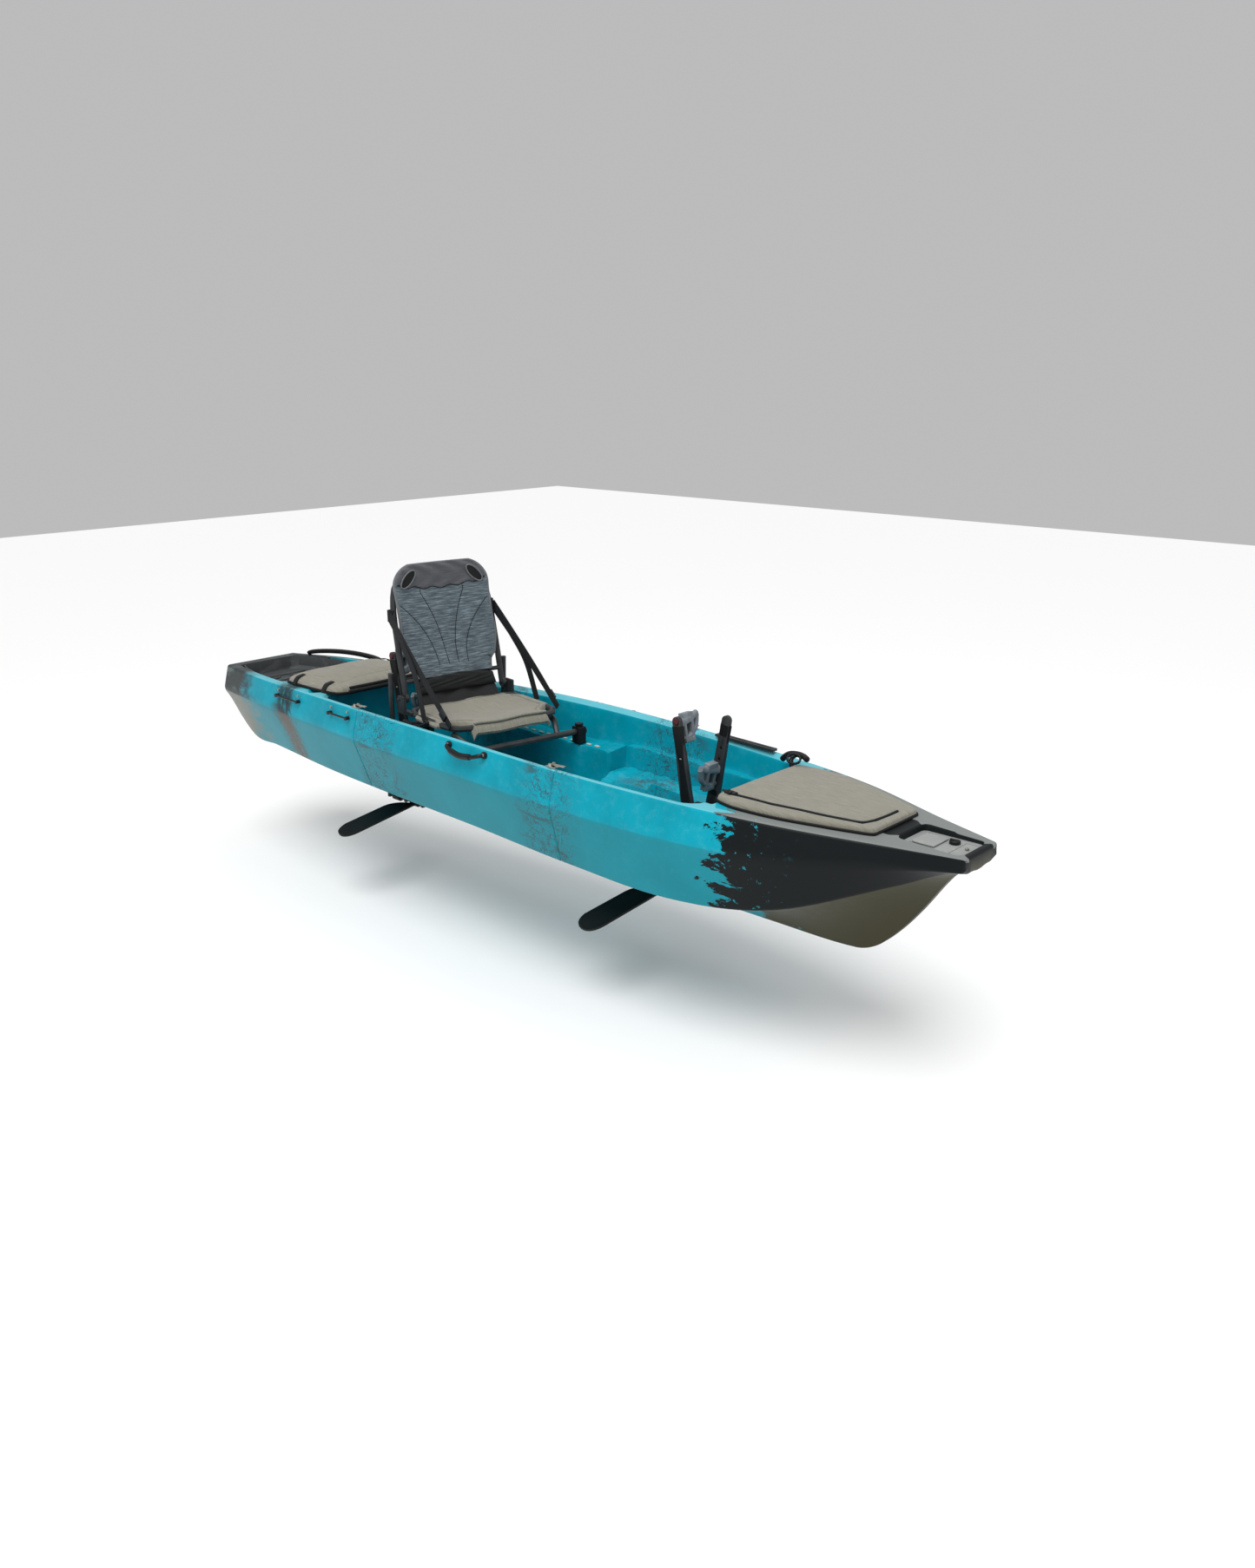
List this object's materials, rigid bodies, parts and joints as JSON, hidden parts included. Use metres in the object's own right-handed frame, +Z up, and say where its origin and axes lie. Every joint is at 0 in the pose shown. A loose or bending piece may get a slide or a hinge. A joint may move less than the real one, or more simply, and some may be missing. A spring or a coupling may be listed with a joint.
{
  "type": "kayak",
  "caption": "Three-module sit-on-top fishing kayak with two pedal fin drives, a framed folding mesh seat, soft hatch covers, bow tray and stern tank well",
  "frame": {"origin": "on the flat underside of the keel, half way along the hull", "axes": "+X towards the bow, +Y to port, +Z up"},
  "size_m": [3.75, 0.856, 1.1246],
  "materials": {
    "hull_plastic": "roto-moulded polyethylene, teal marbled with black",
    "stainless": "pressed stainless steel",
    "khaki_mesh": "coated khaki mesh fabric",
    "black_cord": "braided elastic cord",
    "grey_plastic": "moulded grey polyethylene",
    "black_plastic": "glass-filled nylon, satin",
    "black_aluminium": "black powder-coated aluminium",
    "blue_mesh": "heather blue-grey mesh",
    "black_fabric": "black woven nylon",
    "maroon_plastic": "moulded maroon nylon"
  },
  "bodies": {
    "hull": {"stern_hull": "hull_plastic", "mid_hull": "hull_plastic", "bow_hull": "hull_plastic", "latch_base_aft_starboard": "stainless", "latch_base_aft_port": "stainless", "latch_base_fore_starboard": "stainless", "latch_base_fore_port": "stainless", "front_hatch_cover": "khaki_mesh", "rear_hatch_cover": "khaki_mesh", "floor_hatch": "grey_plastic", "front_cover_cord": "black_cord", "cord_lock": "black_plastic", "tank_liner": "grey_plastic", "bow_tray": "grey_plastic", "gear_track_port": "black_aluminium", "carry_handle_starboard": "black_plastic", "carry_handle_port": "black_plastic", "paddle_keeper_stern_starboard": "black_plastic", "paddle_keeper_mid_starboard": "black_plastic", "bow_hook": "black_plastic", "bow_drive_housing": "black_plastic", "stern_drive_housing": "black_plastic"},
    "seat_base": {"seat_frame": "black_aluminium", "front_leg_frame": "black_aluminium", "rear_leg_frame": "black_aluminium", "seat_cover": "khaki_mesh", "side_strap_starboard": "black_fabric", "side_strap_port": "black_fabric", "clamp_block_starboard": "black_plastic", "clamp_block_port": "black_plastic", "seat_foot_starboard": "hull_plastic", "seat_foot_port": "hull_plastic"},
    "seat_back": {"back_frame": "black_aluminium", "back_cover": "blue_mesh", "lumbar_pad": "black_fabric"},
    "recline_lever": {"recline_lever": "black_plastic"},
    "clamp_knob_starboard": {"clamp_knob_starboard": "black_plastic"},
    "clamp_knob_port": {"clamp_knob_port": "black_plastic"},
    "tray_lid": {"tray_lid": "black_plastic"},
    "tray_knob": {"tray_knob": "black_plastic"},
    "latch_lever_aft_starboard": {"latch_lever_aft_starboard": "stainless"},
    "latch_lever_aft_port": {"latch_lever_aft_port": "stainless"},
    "latch_lever_fore_starboard": {"latch_lever_fore_starboard": "stainless"},
    "latch_lever_fore_port": {"latch_lever_fore_port": "stainless"},
    "bow_arm_starboard": {"bow_arm_starboard": "black_aluminium", "bow_pedal_starboard": "grey_plastic"},
    "bow_arm_port": {"bow_arm_port": "black_aluminium", "bow_pedal_port": "grey_plastic"},
    "bow_fin_fore": {"bow_fin_fore": "black_plastic"},
    "bow_fin_aft": {"bow_fin_aft": "black_plastic"},
    "bow_lock_cam": {"bow_lock_cam": "maroon_plastic"},
    "stern_arm_starboard": {"stern_arm_starboard": "black_aluminium", "stern_pedal_starboard": "grey_plastic"},
    "stern_arm_port": {"stern_arm_port": "black_aluminium", "stern_pedal_port": "grey_plastic"},
    "stern_fin_fore": {"stern_fin_fore": "black_plastic"},
    "stern_fin_aft": {"stern_fin_aft": "black_plastic"},
    "stern_lock_cam": {"stern_lock_cam": "maroon_plastic"}
  },
  "joints": [
    {"name": "seat_slide", "type": "slide", "parent": "hull", "child": "seat_base", "axis": [1, 0, 0], "range_m": [-0.05, 0.05]},
    {"name": "back_fold", "type": "hinge", "parent": "seat_base", "child": "seat_back", "pos_m": [-0.475, 0.02, 0.505], "axis": [0.1736, 0.9848, 0], "range_deg": [-8, 66], "deforming": ["side_strap_starboard", "side_strap_port"]},
    {"name": "recline_lever_turn", "type": "hinge", "parent": "seat_base", "child": "recline_lever", "pos_m": [-0.29468, -0.2819, 0.459], "axis": [0.1736, 0.9848, 0], "range_deg": [0, 20]},
    {"name": "clamp_knob_turn_starboard", "type": "hinge", "parent": "seat_base", "child": "clamp_knob_starboard", "pos_m": [-0.08267, -0.28882, 0.405], "axis": [0, 0, 1], "range_deg": [0, 180]},
    {"name": "clamp_knob_turn_port", "type": "hinge", "parent": "seat_base", "child": "clamp_knob_port", "pos_m": [0.01006, 0.23707, 0.405], "axis": [0, 0, 1], "range_deg": [0, 180]},
    {"name": "tray_lid_hinge", "type": "hinge", "parent": "hull", "child": "tray_lid", "pos_m": [1.672, 0, 0.408], "axis": [0, -1, 0], "range_deg": [0, 100]},
    {"name": "tray_knob_turn", "type": "hinge", "parent": "hull", "child": "tray_knob", "pos_m": [1.772, 0.03, 0.41], "axis": [0, 0, 1], "range_deg": [0, 90]},
    {"name": "latch_aft_starboard", "type": "hinge", "parent": "hull", "child": "latch_lever_aft_starboard", "pos_m": [-0.67, -0.32606, 0.47268], "axis": [0, -1, 0], "range_deg": [0, 110]},
    {"name": "latch_aft_port", "type": "hinge", "parent": "hull", "child": "latch_lever_aft_port", "pos_m": [-0.67, 0.32606, 0.47268], "axis": [0, -1, 0], "range_deg": [0, 110]},
    {"name": "latch_fore_starboard", "type": "hinge", "parent": "hull", "child": "latch_lever_fore_starboard", "pos_m": [0.46, -0.3536, 0.46621], "axis": [0, -1, 0], "range_deg": [0, 110]},
    {"name": "latch_fore_port", "type": "hinge", "parent": "hull", "child": "latch_lever_fore_port", "pos_m": [0.46, 0.3536, 0.46621], "axis": [0, -1, 0], "range_deg": [0, 110]},
    {"name": "bow_pedal_swing", "type": "hinge", "parent": "hull", "child": "bow_arm_starboard", "pos_m": [0.825, 0, 0.292], "axis": [0, 1, 0], "range_deg": [-3, 23]},
    {"name": "bow_port_arm_swing", "type": "hinge", "parent": "hull", "child": "bow_arm_port", "pos_m": [0.825, 0, 0.292], "axis": [0, 1, 0], "range_deg": [-23, 3]},
    {"name": "bow_fin_swing_fore", "type": "hinge", "parent": "hull", "child": "bow_fin_fore", "pos_m": [0.785, 0, -0.034], "axis": [1, 0, 0], "range_deg": [-106.1, 14.1]},
    {"name": "bow_fin_swing_aft", "type": "hinge", "parent": "hull", "child": "bow_fin_aft", "pos_m": [0.665, 0, -0.034], "axis": [1, 0, 0], "range_deg": [-14.1, 106.1]},
    {"name": "bow_lock_cam_turn", "type": "hinge", "parent": "hull", "child": "bow_lock_cam", "pos_m": [0.607, 0, 0.199], "axis": [0, -1, 0], "range_deg": [0, 95]},
    {"name": "stern_pedal_swing", "type": "hinge", "parent": "hull", "child": "stern_arm_starboard", "pos_m": [-0.706, 0, 0.292], "axis": [0, 1, 0], "range_deg": [-3, 23]},
    {"name": "stern_port_arm_swing", "type": "hinge", "parent": "hull", "child": "stern_arm_port", "pos_m": [-0.706, 0, 0.292], "axis": [0, 1, 0], "range_deg": [-23, 3]},
    {"name": "stern_fin_swing_fore", "type": "hinge", "parent": "hull", "child": "stern_fin_fore", "pos_m": [-0.746, 0, -0.034], "axis": [1, 0, 0], "range_deg": [-14.1, 106.1]},
    {"name": "stern_fin_swing_aft", "type": "hinge", "parent": "hull", "child": "stern_fin_aft", "pos_m": [-0.866, 0, -0.034], "axis": [1, 0, 0], "range_deg": [-106.1, 14.1]},
    {"name": "stern_lock_cam_turn", "type": "hinge", "parent": "hull", "child": "stern_lock_cam", "pos_m": [-0.924, 0, 0.199], "axis": [0, -1, 0], "range_deg": [0, 95]}
  ],
  "couplings": [
    {"joint": "bow_fin_swing_fore", "follows": "bow_pedal_swing", "ratio": -4.6},
    {"joint": "bow_fin_swing_aft", "follows": "bow_pedal_swing", "ratio": 4.6},
    {"joint": "bow_port_arm_swing", "follows": "bow_pedal_swing", "ratio": -1},
    {"joint": "stern_fin_swing_fore", "follows": "stern_pedal_swing", "ratio": 4.6},
    {"joint": "stern_fin_swing_aft", "follows": "stern_pedal_swing", "ratio": -4.6},
    {"joint": "stern_port_arm_swing", "follows": "stern_pedal_swing", "ratio": -1}
  ]
}
